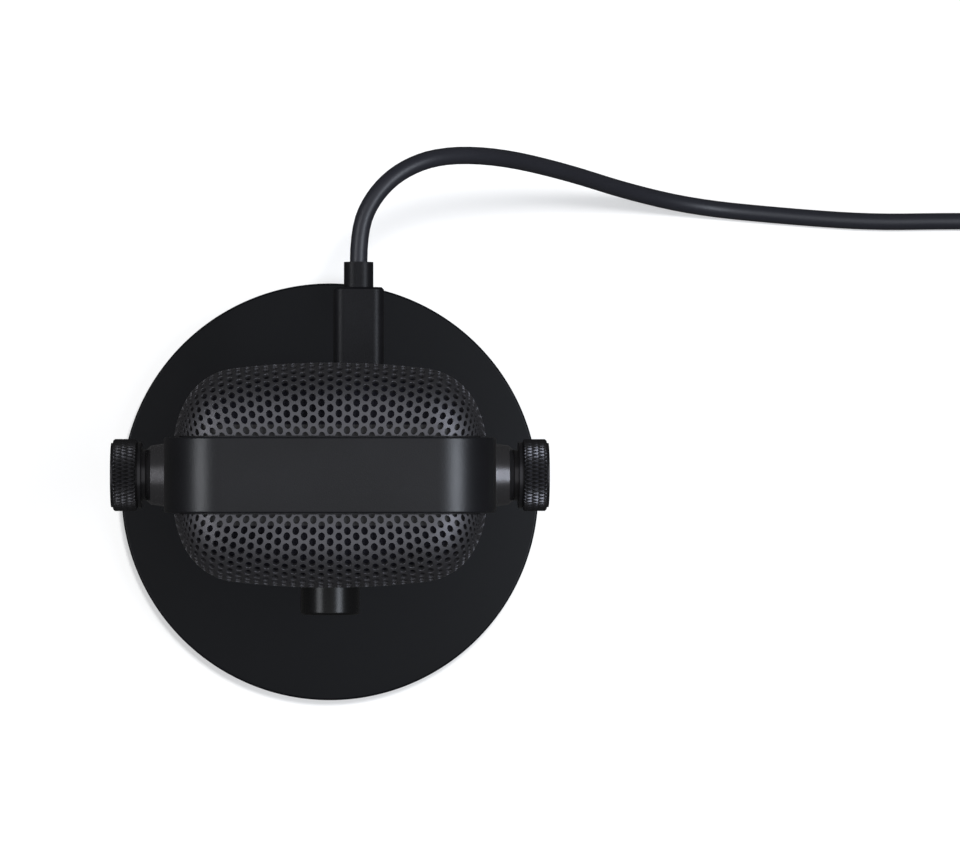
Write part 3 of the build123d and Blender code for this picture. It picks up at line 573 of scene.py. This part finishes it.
def make_band():
    """Flat band around the head, with finely rounded corners and edges."""
    low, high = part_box("band")
    middle_z = (low.z + high.z) / 2 / MM
    half_w = (high.x - low.x) / 2 / MM - BAND_SKIN
    half_h = (high.z - low.z) / 2 / MM - BAND_SKIN
    half_depth = (high.y - low.y) / 2 / MM
    radius = BAND_R - BAND_SKIN
    outline = rounded_outline(half_w, half_h, radius, CORNER_STEPS)
    section = [(BAND_T, half_depth)]
    for side in (1, -1):
        for step in range(BEVEL_STEPS + 1):
            angle = step / BEVEL_STEPS * QUARTER
            if side < 0:
                angle = QUARTER - angle
            section.append((BAND_BEVEL * (1 - math.sin(angle)),
                            side * (half_depth - BAND_BEVEL * (1 - math.cos(angle)))))
    section.append((BAND_T, -half_depth))
    vertices = []
    for inset, across in section:
        for centre_x, centre_z, cos, sin in outline:
            vertices.append(mm(centre_x + (radius - inset) * cos, HEAD_Y + across,
                               middle_z + centre_z + (radius - inset) * sin))
    band = new_mesh("band_skin", vertices, grid_faces(len(section), len(outline), closed=True), "band_black")
    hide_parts("band")
    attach(band, "head")


make_band()

# ---------------------------------------------------------------- base

BASE_EDGE_R = 0.6
BASE_SIDES = 256
BASE_EDGE_STEPS = 5


def make_base():
    """Round base plate with a finely rounded top edge."""
    low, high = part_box("base_plate")
    radius = (high.x - low.x) / 2 / MM
    bottom, top = low.z / MM, high.z / MM
    profile = [(0.0, bottom), (radius, bottom)]
    for step in range(BASE_EDGE_STEPS + 1):
        angle = step / BASE_EDGE_STEPS * QUARTER
        profile.append((radius - BASE_EDGE_R * (1 - math.cos(angle)),
                        top - BASE_EDGE_R * (1 - math.sin(angle))))
    profile.append((0.0, top))
    vertices = []
    for out, z in profile:
        for side in range(BASE_SIDES):
            angle = 2 * math.pi * side / BASE_SIDES
            vertices.append(mm(out * math.cos(angle), out * math.sin(angle), z))
    base = new_mesh("base_disc", vertices, grid_faces(len(profile), BASE_SIDES), "base_black")
    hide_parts("base_plate")
    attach(base, "base")
    return base


base_disc = make_base()

# ---------------------------------------------------------------- thumb screws

PIVOT_Z = 118.0
KNOB_CREASE = 20
# Ridges of each direction around the knob, and how far they run around for each millimetre along it,
# as a share of the space between two of them
KNURL_LINES = 54
KNURL_LEAN = 0.38
KNURL_DEPTH = 0.4
KNURL_STEPS = 40
POINTS_PER_LINE = 10
# Distance from the middle of the microphone, and radius: the flange, and the rim around the end cap
FLANGE_PROFILE = [
    (40.6, 2.8),
    (40.6, 6.95),
    (40.75, 7.15),
    (41.35, 7.15),
    (41.5, 7.0),
    (41.5, 6.6),
    (41.65, 6.6),
]
END_PROFILE = [
    (46.85, 6.9),
    (46.85, 5.6),
]
KNURL_FROM = 41.7
KNURL_TO = 46.75
KNURL_R = 7.8
KNURL_CHAMFER = 0.35


def knurl_height(turn, along):
    """Height of the crossed ridges, from 0 at the bottom of a pit to 1 along the top of a ridge."""
    heights = []
    for lean in (KNURL_LEAN, -KNURL_LEAN):
        phase = (turn * KNURL_LINES + lean * along) % 1.0
        heights.append(abs(2 * phase - 1))
    return max(heights)


def make_knob(name, side):
    """Knurled knob with its flange, on one side."""
    around = KNURL_LINES * POINTS_PER_LINE
    turns = [point / around for point in range(around)]
    rings = [(along, [radius] * around) for along, radius in FLANGE_PROFILE]
    for step in range(KNURL_STEPS + 1):
        along = KNURL_FROM + (KNURL_TO - KNURL_FROM) * step / KNURL_STEPS
        drop = max(0.0, KNURL_CHAMFER - min(along - KNURL_FROM, KNURL_TO - along))
        ridges = [KNURL_R - KNURL_DEPTH * (1 - knurl_height(turn, along)) for turn in turns]
        rings.append((along, [min(radius, KNURL_R - drop) for radius in ridges]))
    rings += [(along, [radius] * around) for along, radius in END_PROFILE]
    vertices = []
    for along, radii in rings:
        for radius, turn in zip(radii, turns):
            vertices.append(mm(side * along, HEAD_Y + side * radius * math.sin(2 * math.pi * turn),
                               PIVOT_Z + radius * math.cos(2 * math.pi * turn)))
    knob = new_mesh(f"knurled_{name}", vertices, grid_faces(len(rings), around), "knob_black", KNOB_CREASE)
    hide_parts(f"knob_{name}")
    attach(knob, f"knob_{name}")


make_knob("left", -1)
make_knob("right", 1)

# ---------------------------------------------------------------- tie of the coil

STRAP_T = 1.0
STRAP_R = 3.0
STRAP_STEPS = 6
STRAP_ROWS = 9
SELVEDGE = 0.25


def make_tie():
    """Woven strap around the coil, with rounded corners and thinner edges."""
    low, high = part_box("cord_tie")
    middle_y, middle_z = (low.y + high.y) / 2 / MM, (low.z + high.z) / 2 / MM
    half_y, half_z = (high.y - low.y) / 2 / MM, (high.z - low.z) / 2 / MM
    outline = rounded_outline(half_y, half_z, STRAP_R, STRAP_STEPS)
    section = []
    for row in range(STRAP_ROWS):
        share = row / (STRAP_ROWS - 1)
        edge = SELVEDGE if row in (0, STRAP_ROWS - 1) else 0.0
        section.append((low.x / MM + share * (high.x - low.x) / MM, edge))
    section += [(high.x / MM, STRAP_T), (low.x / MM, STRAP_T)]
    vertices = []
    for x, inset in section:
        for centre_y, centre_z, cos, sin in outline:
            vertices.append(mm(x, middle_y + centre_y + (STRAP_R - inset) * cos,
                               middle_z + centre_z + (STRAP_R - inset) * sin))
    strap = new_mesh("strap", vertices, grid_faces(len(section), len(outline), closed=True), "tie_black")
    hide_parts("cord_tie")
    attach(strap, "base")
    return strap


tie = make_tie()

# ---------------------------------------------------------------- finish of the CAD nodes

paint_frame()

# ---------------------------------------------------------------- floor and light

FLOOR_HALF = 6.0
FLOOR_WHITE = 0.5
FLOOR_GLOW = 0.45
SURROUNDINGS = 0.05
AIM_HEIGHT = 0.15
PANEL_DISTANCE = 1.3


def make_floor():
    """Plain white table, bright enough to be clean white wherever the key reaches it."""
    data = bpy.data.meshes.new("floor")
    corners = [(x * FLOOR_HALF, y * FLOOR_HALF, 0) for x, y in ((-1, -1), (1, -1), (1, 1), (-1, 1))]
    data.from_pydata(corners, [], [(0, 1, 2, 3)])
    floor = bpy.data.objects.new("floor", data)
    bpy.context.scene.collection.objects.link(floor)
    material = bpy.data.materials.new("floor_white")
    material.use_nodes = True
    shader = material.node_tree.nodes["Principled BSDF"]
    shader.inputs["Base Color"].default_value = (FLOOR_WHITE, FLOOR_WHITE, FLOOR_WHITE, 1)
    shader.inputs["Roughness"].default_value = 0.7
    shader.inputs["Specular IOR Level"].default_value = 0.2
    shader.inputs["Emission Color"].default_value = (1, 1, 1, 1)
    shader.inputs["Emission Strength"].default_value = FLOOR_GLOW
    data.materials.append(material)
    floor.visible_glossy = False


def make_panel(name, tilt, turn, distance, size, radiance, color=(1, 1, 1), shine=True):
    """Soft box aimed at the head, its direction from upright and from +X in degrees.

    The size is across and along, in metres; without shine it gives light and shadow but no highlights."""
    light = bpy.data.lights.new(name, "AREA")
    light.shape = "RECTANGLE"
    light.size, light.size_y = size
    light.energy = radiance * math.pi * size[0] * size[1]
    light.color = color
    holder = bpy.data.objects.new(name, light)
    bpy.context.scene.collection.objects.link(holder)
    tilt, turn = math.radians(tilt), math.radians(turn)
    outwards = Vector((math.sin(tilt) * math.cos(turn), math.sin(tilt) * math.sin(turn), math.cos(tilt)))
    holder.location = Vector((0, 0, AIM_HEIGHT)) + distance * outwards
    holder.rotation_mode = "QUATERNION"
    holder.rotation_quaternion = (-outwards).to_track_quat("-Z", "X")
    holder.visible_camera = False
    holder.visible_glossy = shine
    return holder


def make_world():
    """White all round for the camera, and dim for reflections."""
    world = bpy.data.worlds.new("studio")
    bpy.context.scene.world = world
    world.use_nodes = True
    nodes = world.node_tree.nodes
    links = world.node_tree.links
    background = nodes["Background"]
    seen = nodes.new("ShaderNodeLightPath")
    strength = nodes.new("ShaderNodeMapRange")
    strength.inputs["To Min"].default_value = SURROUNDINGS
    strength.inputs["To Max"].default_value = 1.0
    links.new(seen.outputs["Is Camera Ray"], strength.inputs["Value"])
    links.new(strength.outputs["Result"], background.inputs["Strength"])
    background.inputs["Color"].default_value = (1, 1, 1, 1)


make_floor()
make_panel("left_panel", tilt=44, turn=180, distance=PANEL_DISTANCE, size=(0.42, 0.9), radiance=5.0,
           color=(0.92, 0.95, 1.0))
make_panel("right_panel", tilt=37, turn=0, distance=PANEL_DISTANCE, size=(0.44, 0.9), radiance=8.0,
           color=(0.84, 0.9, 1.0))
make_panel("top_panel", tilt=0, turn=0, distance=1.35, size=(1.0, 1.75), radiance=0.38)

# The key's shadow comes from the cord and the base only, close under them on the table
key = make_panel("key", tilt=12.5, turn=62, distance=PANEL_DISTANCE, size=(0.16, 0.16), radiance=190,
                 shine=False)
key.light_linking.blocker_collection = bpy.data.collections.new("key_shadow")
for caster in (cord, base_disc):
    key.light_linking.blocker_collection.objects.link(caster)
make_world()
bpy.context.scene.view_settings.view_transform = "Standard"
